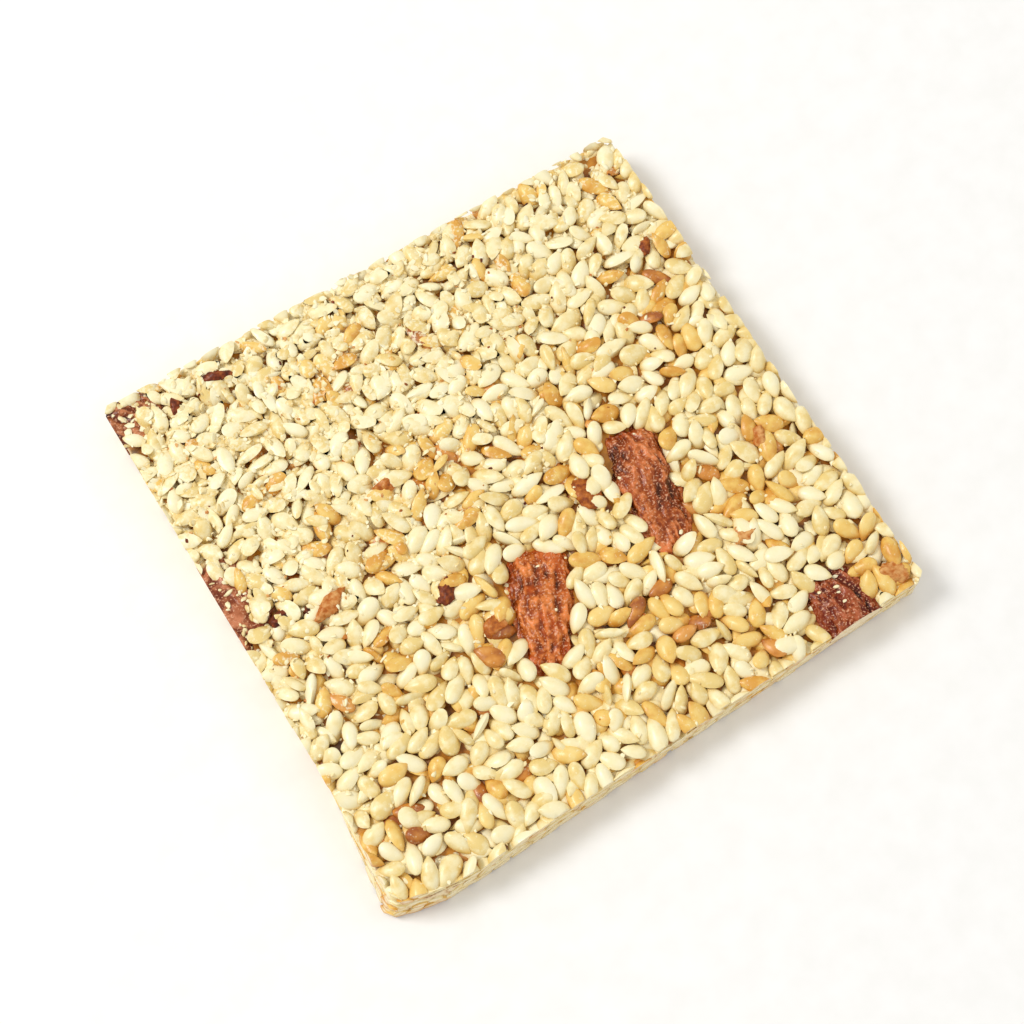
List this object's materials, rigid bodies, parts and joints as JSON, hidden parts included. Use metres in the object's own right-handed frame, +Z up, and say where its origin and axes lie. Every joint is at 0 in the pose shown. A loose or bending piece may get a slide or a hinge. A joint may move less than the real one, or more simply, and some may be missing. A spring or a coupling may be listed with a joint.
{
  "type": "sesame almond slice",
  "caption": "Thin square slice of toasted sesame seeds set in caramel, with pieces of roasted almond in its top and knife-cut sides.",
  "frame": {"origin": "middle of the underside, on the surface that the slice lies on", "axes": "+Z up through the thickness; +X along the long side, towards the corner with the knife-cut almond in front"},
  "size_m": [0.0634, 0.0614, 0.0052],
  "materials": {
    "sesame_in_caramel": "cream to golden hulled sesame seeds, satin, held in amber caramel that is glossy in the gaps",
    "almond_skin": "wrinkled red-brown roasted almond skin with a thin coat of caramel"
  },
  "bodies": {
    "root": {"sesame_slab": "sesame_in_caramel", "almond_middle": "almond_skin", "almond_front": "almond_skin", "almond_right_corner": "almond_skin", "almond_left_corner": "almond_skin", "almond_left_edge": "almond_skin"}
  },
  "joints": []
}
